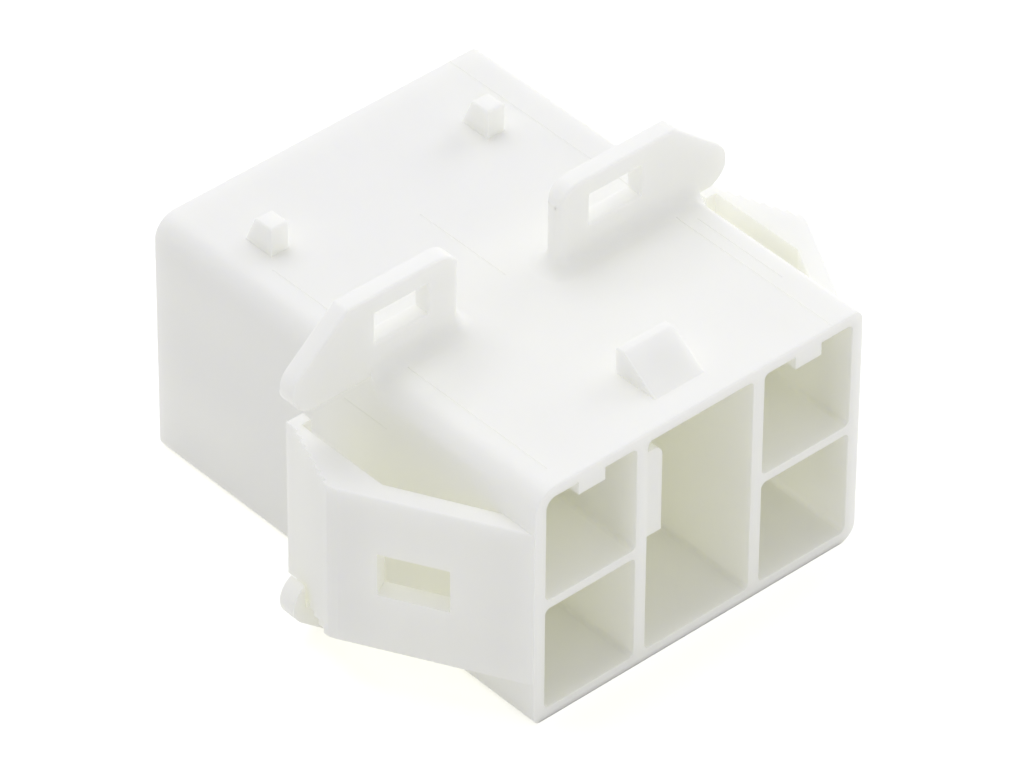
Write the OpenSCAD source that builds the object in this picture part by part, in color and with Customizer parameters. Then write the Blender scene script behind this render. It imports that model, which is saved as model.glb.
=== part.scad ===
// Panel mount connector housing, one nylon moulding with five positions.
// X is across the width, Y runs from the mating face (front, -Y) to the wire side, Z is up.
// The origin is on the resting plane, midway across the width and the depth.

/* [Body] */
// Overall width of the body, without the latches
body_width = 20.3; // [18.5:0.1:24]
// Overall depth from the mating face to the wire side
body_depth = 26.7; // [24.5:0.1:32]
// Overall height of the body, without the ears
body_height = 13.8; // [12.6:0.1:16]
// Radius of the upper left long edge, seen from the front
edge_top_left = 1.25; // [0.5:0.05:1.6]
// Radius of the upper right long edge
edge_top_right = 0.55; // [0.3:0.05:1.2]
// Radius of the lower left long edge
edge_bottom_left = 0.45; // [0.3:0.05:1.2]
// Radius of the lower right long edge
edge_bottom_right = 0.95; // [0.3:0.05:1.2]

/* [Mating cavities] */
// Thickness of the two side walls
side_wall = 0.66; // [0.5:0.02:1]
// Thickness of the top wall
top_wall = 0.6; // [0.5:0.02:1]
// Thickness of the floor
floor_wall = 0.66; // [0.5:0.02:1]
// Thickness of the upright walls between the columns
partition = 0.68; // [0.5:0.02:1]
// Thickness of the level wall between the two rows
divider = 0.52; // [0.4:0.02:0.9]
// Clear width of the middle cavity
middle_width = 6.54; // [6:0.02:7.2]
// Depth of the mating cavities behind the mating face
mating_depth = 15; // [13:0.1:17]
// Radius of the inside corners of the cavities
cavity_corner = 0.3; // [0.1:0.05:0.6]

/* [Keys] */
// Width of the rib that hangs from the top wall of each upper corner cavity
top_key_width = 1.62; // [1:0.02:2.2]
// How far that rib hangs below the top wall
top_key_drop = 0.72; // [0.4:0.02:1.2]
// How far the middle cavity's key stands out of its left wall
side_key_width = 1.4; // [0.8:0.05:2]
// Height of the middle cavity's key
side_key_height = 5.1; // [3:0.1:6]
// Distance from the mating face back to the front of that key
side_key_setback = 0.55; // [0.2:0.05:4]
// Radius of that key's free upper corner
side_key_corner = 0.6; // [0.2:0.05:1]

/* [Contact bores] */
// Diameter of each wire entry at the rear
entry_diameter = 4.6; // [3.8:0.05:4.8]
// Depth of each wire entry
entry_depth = 6.4; // [4:0.1:8]
// Diameter of the throat that grips the contact
throat_diameter = 3.3; // [2.6:0.05:3.5]
// Diameter of the lance pocket in front of the throat
lance_diameter = 4; // [3.6:0.05:4.4]
// Depth of the lance pocket behind the mating cavity
lance_depth = 2.2; // [1.2:0.1:3]
// Width of the lead-in chamfer at each wire entry
entry_lead = 0.35; // [0.1:0.05:0.5]

/* [Panel latches] */
// How far each latch stands out from the side at its widest
latch_reach = 4.7; // [3.8:0.02:5.6]
// Thickness of each latch arm
latch_thickness = 1.04; // [0.8:0.02:1.3]
// Height of the latches, centred on the body
latch_height = 9.1; // [7:0.1:9.4]
// Distance from the mating face to where the arm leaves the side
latch_root = 0.1; // [0.05:0.05:1.5]
// Distance from the mating face to the first step
latch_shoulder = 8.66; // [7.6:0.02:9.2]
// Chamfer on the outer corner of each latch, in front of the first step
shoulder_chamfer = 0.3; // [0.1:0.05:0.4]
// Number of steps that bear on the panel
step_count = 8; // [3:1:9]
// Length of each step
step_run = 0.58; // [0.4:0.01:0.64]
// How much each step is lower than the one in front
step_rise = 0.22; // [0.1:0.01:0.24]
// Length of the plain end behind the last step
latch_tail = 0.24; // [0.1:0.02:0.6]
// Clearance from the body side to the inside of the latch head
latch_gap = 2.76; // [2:0.02:3]
// Distance from the mating face to the front of the window in each arm
window_front = 4.1; // [3:0.05:4.5]
// Length of the window in each arm
window_length = 3.55; // [1.5:0.05:3.7]
// Height of the window in each arm
window_height = 2.45; // [1:0.05:3]
// How far the lip at the end of each latch head reaches back towards the side
lip_reach = 0.6; // [0.3:0.05:1.2]
// Length of that lip
lip_length = 0.6; // [0.4:0.05:1.5]

/* [Ears] */
// Distance from the mating face to the front of the ears and tabs
flange_front = 11.3; // [10.4:0.05:12.4]
// Thickness of the ears and tabs
flange_thickness = 1; // [0.9:0.05:1.3]
// Height of the ears above the body
ear_height = 4.62; // [3.8:0.02:5.2]
// How far the left ear stands out past the side
ear_reach_left = 4.62; // [3.6:0.02:4.7]
// How far the right ear stands out past the side
ear_reach_right = 1.84; // [1.4:0.02:2.6]
// Distance from the body's centre line to the inner end of the left ear
ear_inner_left = 4.66; // [4.4:0.02:5.6]
// Distance from the body's centre line to the inner end of the right ear
ear_inner_right = 1.38; // [1.2:0.02:2.2]
// Radius of the rounded tip of each ear
ear_tip_radius = 1.25; // [0.9:0.01:1.3]
// Distance from the tip to where the ear's top starts to slope
ear_slope_run = 3.3; // [2.8:0.02:3.6]
// Radius of each ear's inner upper corner
ear_corner = 1.25; // [0.3:0.05:1.4]
// Radius of the upright edges at each ear's inner end, seen from above
ear_end_radius = 0.42; // [0.1:0.02:0.44]
// Width of the window in each ear
loop_width = 3.24; // [2.4:0.02:3.3]
// Height of the window in each ear
loop_height = 1.72; // [1.2:0.02:2]
// Material between the window and the ear's inner end
loop_side = 1.94; // [1.3:0.02:2.2]
// Material above the window in each ear
loop_bar = 1.08; // [0.8:0.02:1.4]
// Radius of the fillet where an ear meets the top
ear_fillet = 0.95; // [0.3:0.05:1.1]

/* [Bottom tabs] */
// How far the left tab stands out past the side
tab_reach_left = 4.75; // [4.6:0.01:5.2]
// How far the right tab stands out past the side
tab_reach_right = 1.8; // [1.4:0.02:2.3]
// Height of the centre of the tab's round end
tab_centre = 2.35; // [2:0.05:2.6]
// Radius of the tab's round end
tab_radius = 1.28; // [1.1:0.02:1.4]
// Distance from the tip to where the tab's underside meets the resting plane
tab_slope_run = 2.1; // [1.9:0.05:2.6]
// Clearance between a tab and the latch above it
tab_clearance = 0.22; // [0.2:0.02:0.4]

/* [Top ramp and nubs] */
// Width of the locking ramp
ramp_width = 3.05; // [2:0.05:4]
// Height of the locking ramp above the top
ramp_height = 1.48; // [1:0.02:2]
// Distance from the mating face to the foot of the ramp
ramp_front = 1.5; // [1:0.05:3]
// Length of the ramp's slope
ramp_slope = 2.15; // [1.4:0.05:3]
// Length of the flat behind the slope
ramp_flat = 0.5; // [0.3:0.05:1.5]
// Width of each nub
nub_width = 1.04; // [0.8:0.02:1.6]
// Height of each nub
nub_height = 1.6; // [1:0.02:2]
// Distance from the mating face to the nubs
nub_front = 20.9; // [19:0.05:22]
// Length of the flat top of each nub
nub_flat = 1.15; // [0.8:0.05:2]
// Length of the slope behind each nub's flat top
nub_slope = 0.7; // [0.3:0.05:2]
// How far the nubs sit left of their column's centre
nub_offset = 0.62; // [0:0.02:1]

/* [Hidden] */
eps = 0.02;
front = -body_depth / 2;
half_width = body_width / 2;
// Walls, columns and rows of the cavity block.
side_width = (body_width - 2 * side_wall - 2 * partition - middle_width) / 2;
column_pitch = middle_width / 2 + partition + side_width / 2;
row_height = (body_height - top_wall - floor_wall - divider) / 2;
lower_row = floor_wall + row_height / 2;
upper_row = body_height - top_wall - row_height / 2;
middle_row = body_height / 2;
divider_base = floor_wall + row_height;
// The latches are centred on the body's height.
latch_base = (body_height - latch_height) / 2;
latch_y = front + latch_root;
shoulder_y = front + latch_shoulder;
tail_y = shoulder_y + step_count * step_run + latch_tail;
arm_angle = atan2(latch_reach, latch_shoulder - latch_root);
arm_width_y = latch_thickness / sin(arm_angle);
window_centre = window_front + window_length / 2;
// Each contact position: across the width and up.
positions = [
    [-column_pitch, lower_row],
    [-column_pitch, upper_row],
    [0, middle_row],
    [column_pitch, lower_row],
    [column_pitch, upper_row]
];
web_depth = body_depth - mating_depth;

// The point where a line from p touches the circle of radius r round c; side 1 is to its left.
function touch(p, c, r, side) =
    let (
        d = norm(c - p),
        a = atan2(c[1] - p[1], c[0] - p[0]) + side * asin(r / d),
        run = sqrt(d * d - r * r)
    )
    [p[0] + run * cos(a), p[1] + run * sin(a)];

// A profile drawn in X and Z, carried along Y between two distances from the mating face.
module along_y(near, far) {
    translate([0, front + far, 0]) {
        rotate([90, 0, 0]) {
            linear_extrude(height = far - near) {
                children();
            }
        }
    }
}

// A profile drawn in Y and Z, carried along X between two places.
module along_x(low, high) {
    translate([low, 0, 0]) {
        rotate([90, 0, 90]) {
            linear_extrude(height = high - low) {
                children();
            }
        }
    }
}

// A rectangle with its own radius at each corner: upper left, upper right, lower left, lower right.
module rounded(x0, z0, x1, z1, radii) {
    corners = [
        [x0 + radii[0], z1 - radii[0], x0, z1 - radii[0]],
        [x1 - radii[1], z1 - radii[1], x1 - radii[1], z1 - radii[1]],
        [x0 + radii[2], z0 + radii[2], x0, z0],
        [x1 - radii[3], z0 + radii[3], x1 - radii[3], z0]
    ];
    difference() {
        translate([x0, z0]) {
            square([x1 - x0, z1 - z0]);
        }
        for (i = [0:3]) {
            translate([corners[i][2], corners[i][3]]) {
                square(radii[i]);
            }
        }
    }
    for (i = [0:3]) {
        translate([corners[i][0], corners[i][1]]) {
            circle(r = radii[i], $fn = 48);
        }
    }
}

module body_outline() {
    rounded(-half_width, 0, half_width, body_height,
        [edge_top_left, edge_top_right, edge_bottom_left, edge_bottom_right]);
}

// One mating cavity, open at the mating face, with plain inside corners.
module cavity(x0, z0, x1, z1, radii) {
    along_y(-eps, mating_depth) {
        rounded(x0, z0, x1, z1, radii);
    }
}

// The five mating cavities. The outer ones follow the body's round edges.
module mating_cavities() {
    plain = cavity_corner;
    left = -half_width + side_wall;
    inner = middle_width / 2 + partition;
    low = floor_wall;
    high = body_height - top_wall;
    round_tl = max(plain, edge_top_left - side_wall);
    round_br = max(plain, edge_bottom_right - side_wall);
    cavity(left, low, -inner, divider_base, [plain, plain, plain, plain]);
    cavity(left, divider_base + divider, -inner, high, [round_tl, plain, plain, plain]);
    cavity(inner, low, -left, divider_base, [plain, plain, plain, round_br]);
    cavity(inner, divider_base + divider, -left, high, [plain, plain, plain, plain]);
    cavity(-middle_width / 2, low, middle_width / 2, high, [plain, plain, plain, plain]);
}

// Ribs that key the mating plug: one under the top wall of each upper corner cavity,
// and a broad one on the left wall of the middle cavity.
module keys() {
    for (side = [-1, 1]) {
        along_y(0, mating_depth + eps) {
            translate([side * column_pitch - top_key_width / 2,
                body_height - top_wall - top_key_drop]) {
                square([top_key_width, top_key_drop + eps]);
            }
        }
    }
    along_y(side_key_setback, mating_depth + eps) {
        translate([-middle_width / 2 - eps, middle_row]) {
            difference() {
                square([side_key_width + eps, side_key_height]);
                translate([side_key_width + eps - side_key_corner, side_key_height - side_key_corner]) {
                    square(side_key_corner + eps);
                }
            }
            translate([side_key_width + eps - side_key_corner, side_key_height - side_key_corner]) {
                circle(r = side_key_corner, $fn = 32);
            }
        }
    }
}

// A contact's stepped bore, cut from the rear: lead-in, wire entry, throat and lance pocket.
module contact_bore() {
    rotate([90, 0, 0]) {
        rotate_extrude($fn = 48) {
            polygon([
                [0, -eps],
                [entry_diameter / 2 + entry_lead + eps, -eps],
                [entry_diameter / 2, entry_lead],
                [entry_diameter / 2, entry_depth],
                [throat_diameter / 2, entry_depth],
                [throat_diameter / 2, web_depth - lance_depth],
                [lance_diameter / 2, web_depth - lance_depth],
                [lance_diameter / 2, web_depth + eps],
                [0, web_depth + eps]
            ]);
        }
    }
}

module contact_bores() {
    for (p = positions) {
        translate([p[0], front + body_depth, p[1]]) {
            contact_bore();
        }
    }
}

// The sprung arm on the right side, seen from above, with its stepped head.
module latch_outline() {
    steps = [
        for (i = [0:step_count - 1])
            for (k = [0:1])
                [half_width + latch_reach - i * step_rise,
                    max(shoulder_y + (i + k) * step_run, shoulder_y + shoulder_chamfer)]
    ];
    chamfer_start = [
        half_width + latch_reach - shoulder_chamfer * sin(arm_angle),
        shoulder_y - shoulder_chamfer * cos(arm_angle)
    ];
    head_inner = half_width + latch_gap;
    head_front = latch_y + arm_width_y + latch_gap / tan(arm_angle);
    polygon(concat(
        [[half_width - eps, latch_y]],
        [[half_width, latch_y]],
        [chamfer_start],
        steps,
        [[half_width + latch_reach - (step_count - 1) * step_rise, tail_y]],
        [[head_inner - lip_reach, tail_y]],
        [[head_inner - lip_reach, tail_y - lip_length]],
        [[head_inner, tail_y - lip_length]],
        [[head_inner, head_front]],
        [[half_width, latch_y + arm_width_y]],
        [[half_width - eps, latch_y + arm_width_y]]
    ));
}

module latch() {
    difference() {
        translate([0, 0, latch_base]) {
            linear_extrude(height = latch_height) {
                latch_outline();
            }
        }
        translate([half_width, latch_y, middle_row - window_height / 2]) {
            rotate([0, 0, -arm_angle]) {
                translate([-2 * latch_thickness, window_front - latch_root, 0]) {
                    cube([3 * latch_thickness, window_length, window_height]);
                }
            }
        }
    }
}

// The side view of an ear, with its tip at the origin and its body towards +X.
module ear_outline(inner) {
    tip = [ear_tip_radius, ear_tip_radius];
    slope_top = [ear_slope_run, ear_height];
    difference() {
        union() {
            polygon([
                [ear_tip_radius, 0],
                [inner, 0],
                [inner, ear_height - ear_corner],
                [inner - ear_corner, ear_height],
                slope_top,
                touch(slope_top, tip, ear_tip_radius, -1),
                tip
            ]);
            translate(tip) {
                circle(r = ear_tip_radius, $fn = 48);
            }
            translate([inner - ear_corner, ear_height - ear_corner]) {
                circle(r = ear_corner, $fn = 32);
            }
        }
        translate([inner - loop_side - loop_width, ear_height - loop_bar - loop_height]) {
            square([loop_width, loop_height]);
        }
    }
}

// The section of the fillet at an ear's foot, from the ear's face outwards.
module fillet_section() {
    difference() {
        translate([-eps, -eps]) {
            square(ear_fillet + eps);
        }
        translate([ear_fillet, ear_fillet]) {
            circle(r = ear_fillet, $fn = 32);
        }
    }
}

// A straight run of that fillet, along X from low to high, facing the rear.
module fillet_run(low, high) {
    along_x(low, high) {
        fillet_section();
    }
}

// A quarter turn of that fillet round an upright edge with its axis at the origin.
module fillet_turn(radius) {
    rotate_extrude(angle = 90, $fn = 48) {
        translate([radius, 0]) {
            fillet_section();
        }
    }
}

// That fillet where it follows the body's long edge down to the side.
module fillet_edge(edge) {
    intersection() {
        rotate([-90, 0, 0]) {
            rotate([0, 0, 180]) {
                fillet_turn(edge);
            }
        }
        translate([-edge, -eps, 0]) {
            cube([edge + eps, 2 * ear_fillet, 2 * edge + ear_fillet]);
        }
    }
}

// An ear seen from above, with its inner end's upright edges rounded.
module ear_plan(outer, inner) {
    half = flange_thickness / 2;
    straight = inner - ear_end_radius;
    translate([outer, -half]) {
        square([straight - outer, flange_thickness]);
    }
    translate([straight - eps, -half + ear_end_radius]) {
        square([ear_end_radius + eps, flange_thickness - 2 * ear_end_radius]);
    }
    for (side = [-1, 1]) {
        translate([straight, side * (half - ear_end_radius)]) {
            circle(r = ear_end_radius, $fn = 32);
        }
    }
}

// One ear with its root in the body's edge and a fillet all round its foot.
module ear(reach, inner, edge) {
    outer_end = -half_width + edge;
    inner_end = -half_width + inner;
    straight = inner_end - ear_end_radius;
    half = flange_thickness / 2;
    intersection() {
        along_y(flange_front, flange_front + flange_thickness) {
            translate([-half_width - reach, body_height]) {
                ear_outline(inner + reach);
            }
            translate([-half_width, body_height - edge]) {
                square([edge, edge + eps]);
            }
        }
        translate([0, front + flange_front + half, 0]) {
            linear_extrude(height = 2 * body_height) {
                ear_plan(-half_width - reach - 1, inner_end);
            }
        }
    }
    translate([0, front + flange_front + half, body_height]) {
        for (side = [0, 1]) {
            mirror([0, side, 0]) {
                translate([0, half, 0]) {
                    fillet_run(outer_end, straight);
                    translate([outer_end, 0, -edge]) {
                        fillet_edge(edge);
                    }
                }
                translate([straight, half - ear_end_radius, 0]) {
                    fillet_turn(ear_end_radius);
                }
            }
        }
        translate([inner_end, 0, 0]) {
            rotate([0, 0, -90]) {
                fillet_run(-half + ear_end_radius, half - ear_end_radius);
            }
        }
    }
}

// A tab at the foot of one side, with a round end and a step cut out to clear the latch.
module tab(reach) {
    centre = [-half_width - reach + tab_radius, tab_centre];
    foot = [-half_width - reach + tab_slope_run, 0];
    tab_top = latch_base - tab_clearance;
    clear_x = -half_width - head_reach() - tab_clearance;
    along_y(flange_front, flange_front + flange_thickness) {
        difference() {
            union() {
                translate(centre) {
                    circle(r = tab_radius, $fn = 48);
                }
                polygon([
                    [-half_width + side_wall / 2, 0],
                    foot,
                    touch(foot, centre, tab_radius, 1),
                    centre,
                    [centre[0], tab_top],
                    [-half_width + side_wall / 2, tab_top]
                ]);
            }
            translate([clear_x, tab_top]) {
                square([reach + half_width, body_height]);
            }
        }
    }
}

// How far the latch head stands out at the front face of the tabs.
function head_reach() =
    let (step = floor((flange_front - latch_shoulder) / step_run))
    latch_reach - step * step_rise;

// The locking ramp near the mating face: a slope, a short flat and an upright back.
module ramp() {
    along_x(-ramp_width / 2, ramp_width / 2) {
        polygon([
            [front + ramp_front, body_height - eps],
            [front + ramp_front, body_height],
            [front + ramp_front + ramp_slope, body_height + ramp_height],
            [front + ramp_front + ramp_slope + ramp_flat, body_height + ramp_height],
            [front + ramp_front + ramp_slope + ramp_flat, body_height - eps]
        ]);
    }
}

// A nub near the rear, upright at its front, with a slope behind its flat top.
module nub(column) {
    along_x(column - nub_offset - nub_width / 2, column - nub_offset + nub_width / 2) {
        polygon([
            [front + nub_front, body_height - eps],
            [front + nub_front, body_height + nub_height],
            [front + nub_front + nub_flat, body_height + nub_height],
            [front + nub_front + nub_flat + nub_slope, body_height],
            [front + nub_front + nub_flat + nub_slope, body_height - eps]
        ]);
    }
}

module housing() {
    color([0.93, 0.93, 0.88]) {
        difference() {
            union() {
                along_y(0, body_depth) {
                    body_outline();
                }
                latch();
                mirror([1, 0, 0]) {
                    latch();
                }
                ear(ear_reach_left, half_width - ear_inner_left, edge_top_left);
                mirror([1, 0, 0]) {
                    ear(ear_reach_right, half_width - ear_inner_right, edge_top_right);
                }
                tab(tab_reach_left);
                mirror([1, 0, 0]) {
                    tab(tab_reach_right);
                }
                ramp();
                nub(-column_pitch);
                nub(column_pitch);
            }
            mating_cavities();
            contact_bores();
        }
        keys();
    }
}

housing();
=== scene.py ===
"""Panel-mount connector housing in natural nylon: looks, light, floor and camera.

Everything is in metres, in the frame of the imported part: X across the width,
the mating face towards -Y, Z up, with the origin on the floor under the middle.
"""
import math

import bmesh
import bpy
from mathutils import Matrix, Vector


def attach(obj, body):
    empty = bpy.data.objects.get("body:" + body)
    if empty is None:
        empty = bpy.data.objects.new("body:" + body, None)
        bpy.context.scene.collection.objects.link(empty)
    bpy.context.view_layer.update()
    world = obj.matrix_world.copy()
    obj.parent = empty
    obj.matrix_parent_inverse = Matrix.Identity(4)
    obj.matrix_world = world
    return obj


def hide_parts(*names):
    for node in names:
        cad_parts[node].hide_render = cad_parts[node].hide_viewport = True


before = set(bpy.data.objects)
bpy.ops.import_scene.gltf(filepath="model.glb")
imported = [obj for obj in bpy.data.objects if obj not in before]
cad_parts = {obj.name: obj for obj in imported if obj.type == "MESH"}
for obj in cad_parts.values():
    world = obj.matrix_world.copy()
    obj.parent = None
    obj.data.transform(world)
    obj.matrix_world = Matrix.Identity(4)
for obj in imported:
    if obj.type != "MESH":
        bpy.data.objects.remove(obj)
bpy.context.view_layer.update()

MM = 0.001
WHITE = (1.0, 1.0, 1.0, 1.0)

# The body of the moulding.
TOP = 13.8 * MM
HALF_WIDTH = 10.15 * MM
FRONT = -13.35 * MM
DEPTH = 26.7 * MM

# Where the softened edges lie: across from the middle, behind the mating face, or up.
EARS_FROM, EARS_TO = 10.5 * MM, 13.2 * MM      # behind the mating face
EAR_FILLET_TOP = 14.9 * MM                     # up, above the fillet at the ears' feet
LATCH_LOW, LATCH_HIGH = 2.3 * MM, 11.5 * MM    # up
LATCH_MIDDLE = 6.9 * MM                        # up
WINDOW_ROOM = 2.0 * MM                         # kept sharp above and below that middle
ARM_ROOT = 10.4 * MM                           # across
STEPS_START = 8.5 * MM                         # behind the mating face
BELOW_STUD_TOPS = 15.2 * MM                    # up, just under the tops of ramp and nubs
ON_FACE = 0.01 * MM                            # how near a face's plane counts as on it
RIM_UPPER, RIM_LOWER = 13.2 * MM, 0.5 * MM     # up: the outer rims lie beyond these
FRONT_RIM_SIDE, REAR_RIM_SIDE = 9.6 * MM, 9.5 * MM    # across: likewise

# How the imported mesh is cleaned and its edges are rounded.
MERGE_DISTANCE = 0.5e-6
FLAT_ANGLE = math.radians(0.6)
CORNER_ANGLE = math.radians(28)
SHARP_ANGLE = math.radians(12)
RADIUS_SEGMENTS = 3

# Fine witness lines that the tool's inserts leave along the top, drawn as a small bump with
# painted shade along it: X, then from Y to Y.
TOP_LINES = (
    (-8.45 * MM, -12.2 * MM, 6.8 * MM),
    (-0.60 * MM, -0.6 * MM, 5.4 * MM),
    (8.20 * MM, -13.3 * MM, 13.3 * MM),
    (8.90 * MM, -9.2 * MM, -3.4 * MM),
)
# The same on the left side: Z, then from Y to Y.
SIDE_LINES = (
    (11.4 * MM, -3.2 * MM, -0.2 * MM),
)
LINE_WIDTH = 0.07 * MM
LINE_FACE_SLACK = 0.05 * MM

# The nylon: its two tints, the painted shade that darkens it along the witness lines, and how
# far red, green and blue light travel in it.
RESIN_DEEP = (0.988, 0.988, 0.925, 1.0)
RESIN_CLEAR = (0.997, 0.997, 0.952, 1.0)
# Painted shade along the witness lines, in place of the shade their tiny step would cast.
LINE_PAINTED_SHADE = (0.90, 0.90, 0.90, 1.0)
SCATTER_DEPTH = 0.0007
SCATTER_BY_COLOUR = (1.0, 1.0, 0.9)
NYLON_IOR = 1.53
ROUGHNESS_LEAST, ROUGHNESS_SPREAD = 0.34, 0.16

# The studio. A lamp has a name, its place, what it faces, its width and height, and its watts.
FLOOR_RADIUS = 3.0
FLOOR_COLOUR = (0.9, 0.897, 0.87, 1.0)
FLOOR_GLOW = 0.42
WORLD_LIGHT = 0.63
SOFTBOXES = (
    ("overhead", (0.0, 0.28, 0.58), (0.0, 0.0, 0.0), 0.5, 0.5, 1.15),
    ("right", (0.60, 0.05, 0.25), (0.0, 0.0, 0.0), 0.4, 0.4, 0.95),
    ("front", (0.0, -0.60, 0.16), (0.0, 0.0, 0.005), 0.4, 0.3, 0.24),
)

# The photograph's view. Distance and offsets are in heights of the body.
AZIMUTH = math.radians(42.07)
ELEVATION = math.radians(39.65)
ROLL = math.radians(0.46)
DISTANCE = 29.03
AIM_RIGHT, AIM_DOWN = 0.0200, 0.0199
FOCAL_LENGTH, SENSOR_WIDTH = 300.4, 36.0


# ---------------------------------------------------------------- node helpers

def new_material(name):
    """An empty node material, with its tree and output node."""
    material = bpy.data.materials.new(name)
    material.use_nodes = True
    tree = material.node_tree
    tree.nodes.clear()
    return material, tree, tree.nodes.new("ShaderNodeOutputMaterial")


def add(tree, kind, **settings):
    """Add a node. A setting in_NAME is its input NAME, any other is a property."""
    node = tree.nodes.new(kind)
    for key, value in settings.items():
        if key.startswith("in_"):
            node.inputs[key[3:].replace("_", " ")].default_value = value
        else:
            setattr(node, key, value)
    return node


def math_node(tree, operation, *values, clamp=False):
    """A math node whose inputs are sockets or numbers; returns its output."""
    node = add(tree, "ShaderNodeMath", operation=operation, use_clamp=clamp)
    for index, value in enumerate(values):
        if isinstance(value, (int, float)):
            node.inputs[index].default_value = value
        else:
            tree.links.new(value, node.inputs[index])
    return node.outputs[0]


def background_rays(tree):
    """One for rays that show the background: seen by the camera, mirrored or let through."""
    path = add(tree, "ShaderNodeLightPath")
    seen = math_node(tree, "ADD", path.outputs["Is Camera Ray"], path.outputs["Is Glossy Ray"])
    return math_node(tree, "ADD", seen, path.outputs["Is Transmission Ray"], clamp=True)


# ---------------------------------------------------------------- nylon

def line_mask(tree, across, along, line, height, level):
    """One on a thin line, falling to zero at its edges, on the plane height = level."""
    at, low, high = line
    away = math_node(tree, "ABSOLUTE", math_node(tree, "SUBTRACT", across, at))
    fall = add(tree, "ShaderNodeMapRange", interpolation_type="SMOOTHSTEP",
               in_From_Min=0.0, in_From_Max=LINE_WIDTH, in_To_Min=1.0, in_To_Max=0.0)
    tree.links.new(away, fall.inputs["Value"])
    within = math_node(tree, "COMPARE", along, (low + high) / 2, (high - low) / 2)
    on_face = math_node(tree, "COMPARE", height, level, LINE_FACE_SLACK)
    mask = math_node(tree, "MULTIPLY", fall.outputs["Result"], within)
    return math_node(tree, "MULTIPLY", mask, on_face)


def witness_lines(tree, coords):
    """All the witness lines as one mask."""
    split = add(tree, "ShaderNodeSeparateXYZ")
    tree.links.new(coords, split.inputs["Vector"])
    x, y, z = split.outputs["X"], split.outputs["Y"], split.outputs["Z"]
    masks = [line_mask(tree, x, y, line, z, TOP) for line in TOP_LINES]
    masks += [line_mask(tree, z, y, line, x, -HALF_WIDTH) for line in SIDE_LINES]
    total = masks[0]
    for mask in masks[1:]:
        total = math_node(tree, "ADD", total, mask, clamp=True)
    return total


def noise(tree, coords, scale, detail, roughness):
    """A noise texture on the moulding; returns its factor."""
    node = add(tree, "ShaderNodeTexNoise", in_Scale=scale, in_Detail=detail,
               in_Roughness=roughness)
    tree.links.new(coords, node.inputs["Vector"])
    return node.outputs["Fac"]


def bump(tree, height, strength, distance, below=None, invert=False):
    """A bump of that height on top of the one below; returns its normal."""
    node = add(tree, "ShaderNodeBump", in_Strength=strength, in_Distance=distance,
               invert=invert)
    tree.links.new(height, node.inputs["Height"])
    if below is not None:
        tree.links.new(below, node.inputs["Normal"])
    return node.outputs["Normal"]


def nylon_material():
    """Milky natural nylon: light scatters inside it and glows through thin walls."""
    material, tree, output = new_material("natural_nylon")
    links = tree.links
    coords = add(tree, "ShaderNodeTexCoord").outputs["Object"]

    # Broad, faint clouding of the resin.
    cloud = noise(tree, coords, 140.0, 3.0, 0.5)
    tint = add(tree, "ShaderNodeValToRGB")
    for stop, place, colour in zip(tint.color_ramp.elements, (0.3, 0.7),
                                   (RESIN_DEEP, RESIN_CLEAR)):
        stop.position = place
        stop.color = colour
    links.new(cloud, tint.inputs["Fac"])

    # The witness lines: painted shade makes them a hair darker, standing in for the shade of
    # their tiny step, and they are just felt under a nail.
    lines = witness_lines(tree, coords)
    shade = add(tree, "ShaderNodeMixRGB", blend_type="MULTIPLY", in_Color2=LINE_PAINTED_SHADE)
    links.new(lines, shade.inputs["Fac"])
    links.new(tint.outputs["Color"], shade.inputs["Color1"])

    # The lines' step, a slow waviness from the tool's polish, and a fine satin grain.
    grain = noise(tree, coords, 5200.0, 2.0, 0.6)
    waves = noise(tree, coords, 420.0, 2.0, 0.5)
    normal = bump(tree, lines, 0.8, 0.00002, invert=True)
    normal = bump(tree, waves, 0.25, 0.00004, below=normal)
    normal = bump(tree, grain, 0.25, 0.00001, below=normal)

    rough = math_node(tree, "MULTIPLY_ADD", cloud, ROUGHNESS_SPREAD, ROUGHNESS_LEAST)

    shader = add(tree, "ShaderNodeBsdfPrincipled")
    shader.inputs["Subsurface Weight"].default_value = 1.0
    shader.inputs["Subsurface Radius"].default_value = SCATTER_BY_COLOUR
    shader.inputs["Subsurface Scale"].default_value = SCATTER_DEPTH
    shader.inputs["IOR"].default_value = NYLON_IOR
    shader.inputs["Specular IOR Level"].default_value = 0.4
    links.new(shade.outputs["Color"], shader.inputs["Base Color"])
    links.new(rough, shader.inputs["Roughness"])
    links.new(normal, shader.inputs["Normal"])
    links.new(shader.outputs["BSDF"], output.inputs["Surface"])
    return material


# ---------------------------------------------------------------- moulding

def is_corner(edge):
    """An outward corner between two faces, not a facet line of a curved face."""
    return (len(edge.link_faces) == 2 and edge.is_convex
            and edge.calc_face_angle(0.0) > CORNER_ANGLE)


def middle_of(edge):
    """The middle of an edge: across from the part's middle, behind the mating face, up."""
    middle = (edge.verts[0].co + edge.verts[1].co) / 2
    return abs(middle.x), middle.y - FRONT, middle.z


def on_ear(across, behind, up):
    """The ears, above the fillet at their feet."""
    return up > EAR_FILLET_TOP and EARS_FROM < behind < EARS_TO


def on_latch_arm(across, behind, up):
    """The latch arms in front of their steps, but not round their windows."""
    return (LATCH_LOW < up < LATCH_HIGH and abs(up - LATCH_MIDDLE) > WINDOW_ROOM
            and across > ARM_ROOT and behind < STEPS_START)


def on_stud_top(across, behind, up):
    """The tops of the ramp, in front of the ears, and of the nubs behind them."""
    return up > BELOW_STUD_TOPS and not EARS_FROM <= behind <= EARS_TO


def on_front_rim(across, behind, up):
    """The outer rim of the mating face, above the latches."""
    return (behind < ON_FACE and up > LATCH_HIGH
            and (up > RIM_UPPER or across > FRONT_RIM_SIDE))


def on_rear_rim(across, behind, up):
    """The outer rim of the rear face."""
    return (behind > DEPTH - ON_FACE
            and (across > REAR_RIM_SIDE or up > RIM_UPPER or up < RIM_LOWER))


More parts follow.
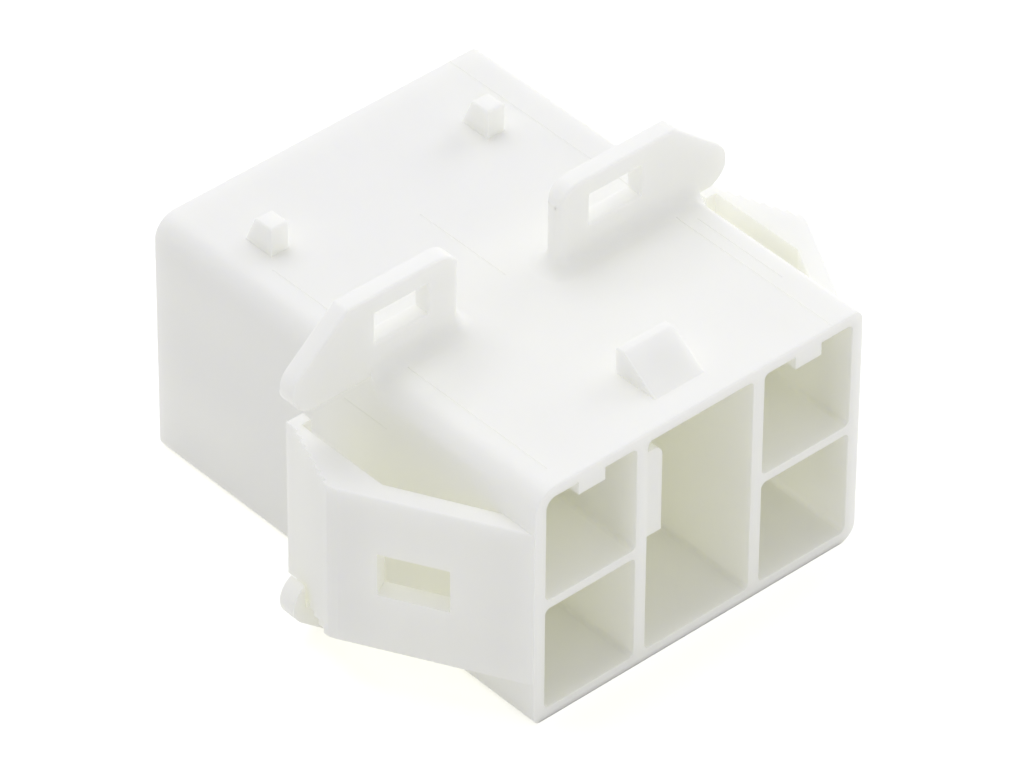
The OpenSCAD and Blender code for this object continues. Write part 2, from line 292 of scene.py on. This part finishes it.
# The radii that moulding leaves on outward edges, and which edges have each.
SOFT_EDGES = (
    (0.10 * MM, on_ear),
    (0.12 * MM, on_latch_arm),
    (0.10 * MM, on_stud_top),
    (0.07 * MM, on_front_rim),
    (0.08 * MM, on_rear_rim),
)


def moulding(source, material):
    """The CAD solid with small radii on the edges that SOFT_EDGES names."""
    work = bmesh.new()
    work.from_mesh(source.data)
    bmesh.ops.remove_doubles(work, verts=work.verts, dist=MERGE_DISTANCE)
    bmesh.ops.dissolve_limit(work, angle_limit=FLAT_ANGLE, use_dissolve_boundaries=False,
                             verts=work.verts, edges=work.edges)
    for radius, belongs in SOFT_EDGES:
        edges = [e for e in work.edges if is_corner(e) and belongs(*middle_of(e))]
        bmesh.ops.bevel(work, geom=edges, offset=radius, offset_type="OFFSET",
                        segments=RADIUS_SEGMENTS, profile=0.5, affect="EDGES",
                        clamp_overlap=False)
    bmesh.ops.recalc_face_normals(work, faces=work.faces)
    for face in work.faces:
        face.smooth = True
    for edge in work.edges:
        edge.smooth = edge.calc_face_angle(0.0) < SHARP_ANGLE
    mesh = bpy.data.meshes.new("nylon_moulding")
    work.to_mesh(mesh)
    work.free()
    mesh.materials.append(material)
    piece = bpy.data.objects.new("nylon_moulding", mesh)
    bpy.context.scene.collection.objects.link(piece)
    piece.matrix_world = source.matrix_world.copy()
    return piece


body = moulding(bpy.data.objects["housing"], nylon_material())
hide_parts("housing")
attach(body, "root")


# ---------------------------------------------------------------- stage

def floor_material():
    """A plain pale floor that keeps shadows and shows white to the camera."""
    material, tree, output = new_material("floor_white")
    links = tree.links
    diffuse = add(tree, "ShaderNodeBsdfDiffuse", in_Color=FLOOR_COLOUR)
    glow = add(tree, "ShaderNodeEmission", in_Color=WHITE)
    level = math_node(tree, "MULTIPLY", background_rays(tree), FLOOR_GLOW)
    links.new(level, glow.inputs["Strength"])
    both = add(tree, "ShaderNodeAddShader")
    links.new(diffuse.outputs["BSDF"], both.inputs[0])
    links.new(glow.outputs["Emission"], both.inputs[1])
    links.new(both.outputs["Shader"], output.inputs["Surface"])
    return material


def floor():
    """A broad round floor under the part."""
    mesh = bpy.data.meshes.new("floor")
    work = bmesh.new()
    bmesh.ops.create_circle(work, cap_ends=True, radius=FLOOR_RADIUS, segments=96)
    work.to_mesh(mesh)
    work.free()
    plane = bpy.data.objects.new("floor", mesh)
    bpy.context.scene.collection.objects.link(plane)
    mesh.materials.append(floor_material())


def world_light():
    """An even white surround that lights the part less than it shows."""
    world = bpy.data.worlds.new("studio")
    bpy.context.scene.world = world
    world.use_nodes = True
    tree = world.node_tree
    tree.nodes.clear()
    output = add(tree, "ShaderNodeOutputWorld")
    background = add(tree, "ShaderNodeBackground", in_Color=WHITE)
    level = math_node(tree, "MULTIPLY", background_rays(tree), 1.0 - WORLD_LIGHT)
    level = math_node(tree, "ADD", level, WORLD_LIGHT)
    tree.links.new(level, background.inputs["Strength"])
    tree.links.new(background.outputs["Background"], output.inputs["Surface"])


def softbox(name, place, target, width, height, watts):
    """A rectangular lamp at place that faces target."""
    lamp = bpy.data.lights.new(name, "AREA")
    lamp.shape = "RECTANGLE"
    lamp.size = width
    lamp.size_y = height
    lamp.energy = watts
    item = bpy.data.objects.new(name, lamp)
    item.location = place
    item.rotation_euler = (Vector(target) - Vector(place)).to_track_quat("-Z", "Y").to_euler()
    bpy.context.scene.collection.objects.link(item)


def camera():
    """The view of the photograph: from the left, in front and above, through a long lens."""
    ahead = Vector((math.sin(AZIMUTH) * math.cos(ELEVATION),
                    math.cos(AZIMUTH) * math.cos(ELEVATION),
                    -math.sin(ELEVATION)))
    level = Vector((math.cos(AZIMUTH), -math.sin(AZIMUTH), 0.0))
    upward = level.cross(ahead)
    right = math.cos(ROLL) * level + math.sin(ROLL) * upward
    up = -math.sin(ROLL) * level + math.cos(ROLL) * upward
    centre = Vector((0.02 * MM, -0.02 * MM, TOP / 2))
    centre += (AIM_RIGHT * right - AIM_DOWN * up) * TOP
    place = centre - ahead * (DISTANCE * TOP)
    data = bpy.data.cameras.new("view")
    data.lens = FOCAL_LENGTH
    data.sensor_width = SENSOR_WIDTH
    data.clip_start = 0.02
    data.clip_end = 20.0
    item = bpy.data.objects.new("view", data)
    turn = Matrix((right, up, -ahead)).transposed()
    item.matrix_world = Matrix.Translation(place) @ turn.to_4x4()
    bpy.context.scene.collection.objects.link(item)
    bpy.context.scene.camera = item


floor()
world_light()
for box in SOFTBOXES:
    softbox(*box)
camera()

scene = bpy.context.scene
scene.view_settings.view_transform = "Standard"
# Light crosses several thin walls before it leaves the block, so it needs many bounces.
scene.cycles.max_bounces = 24
scene.cycles.diffuse_bounces = 20
